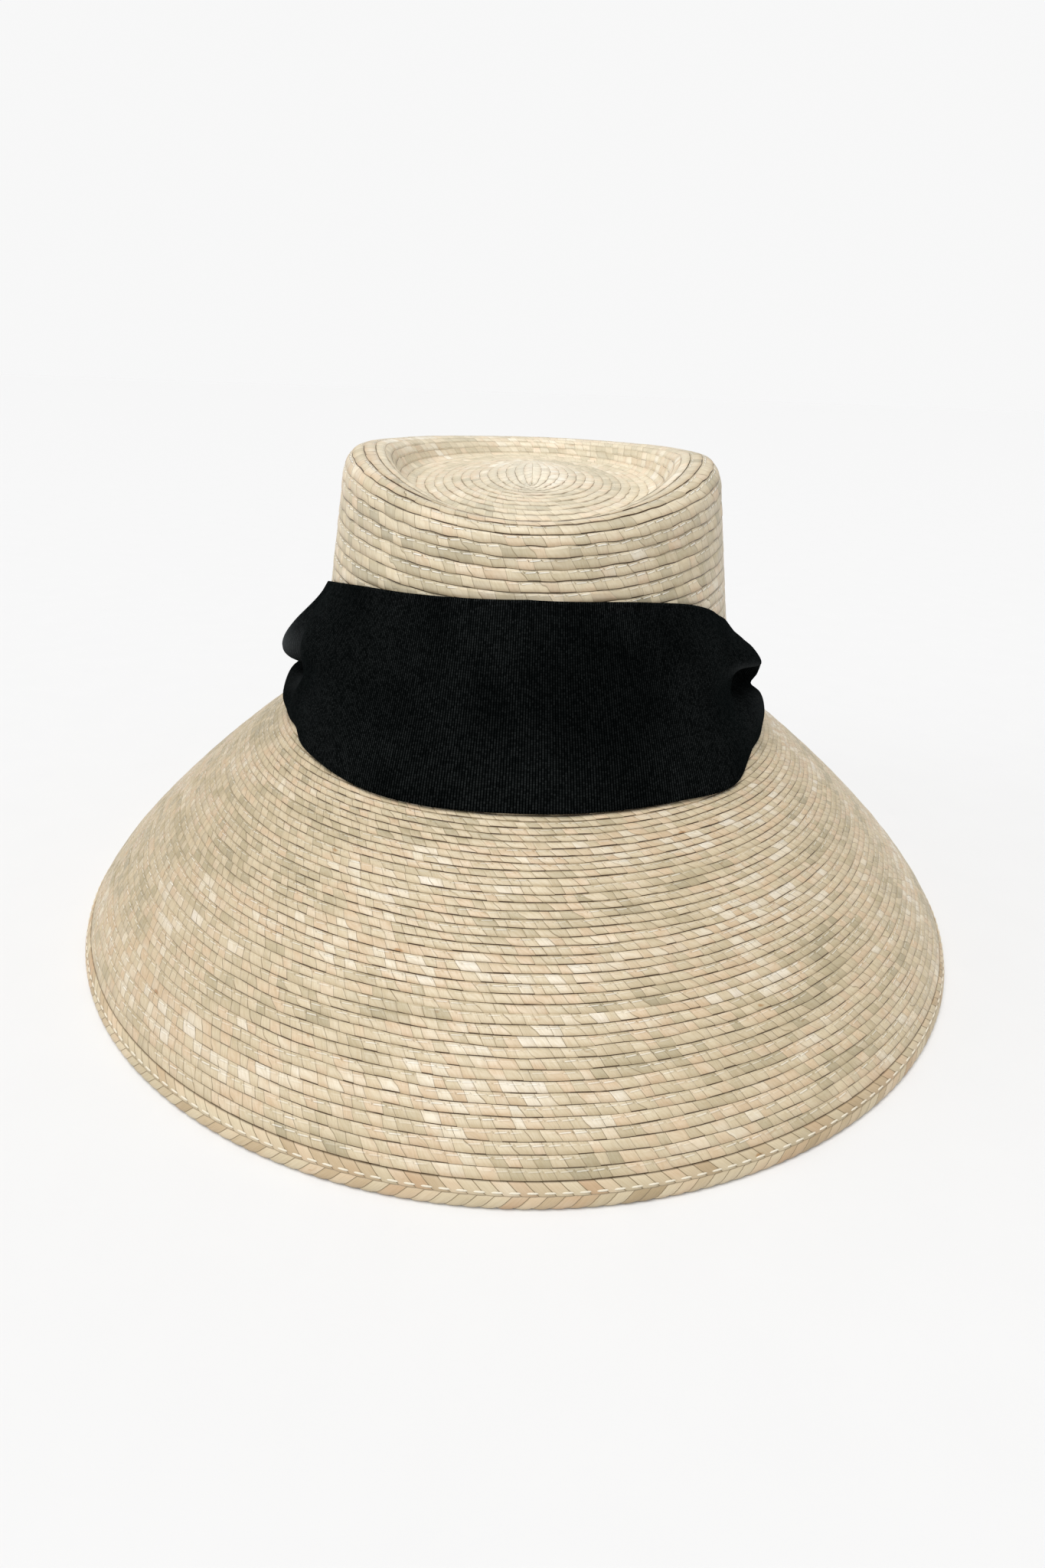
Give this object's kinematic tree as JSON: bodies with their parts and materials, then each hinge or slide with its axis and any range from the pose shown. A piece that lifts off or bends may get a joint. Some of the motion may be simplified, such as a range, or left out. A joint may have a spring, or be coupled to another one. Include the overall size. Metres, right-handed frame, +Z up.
{
  "type": "straw sun hat",
  "caption": "Wide down-turned brim sun hat sewn from palm-leaf braid, with a dented crown and a broad black ribbon sash tied in a bow behind.",
  "frame": {"origin": "middle of the brim edge's plane, under the middle of the crown", "axes": "+Z up through the crown, the front of the hat faces -Y, +X is the wearer's left"},
  "size_m": [0.371, 0.411, 0.1877],
  "materials": {
    "palm_straw": "satin",
    "grosgrain_ribbon": "ribbed matte",
    "sweatband_cotton": "matte",
    "sewing_thread": "matte",
    "ribbon_thread": "matte"
  },
  "bodies": {
    "root": {"crown_tip": "palm_straw", "crown_wall": "palm_straw", "brim": "palm_straw", "brim_edge_braid": "palm_straw", "edge_stitching": "sewing_thread", "sweatband": "sweatband_cotton", "sweatband_join": "sweatband_cotton", "ribbon_sash": "grosgrain_ribbon", "sash_tack_left": "ribbon_thread", "sash_tack_right": "ribbon_thread", "bow_knot": "grosgrain_ribbon", "bow_left_loop": "grosgrain_ribbon", "bow_right_loop": "grosgrain_ribbon", "bow_left_tail": "grosgrain_ribbon", "bow_right_tail": "grosgrain_ribbon"}
  },
  "joints": []
}
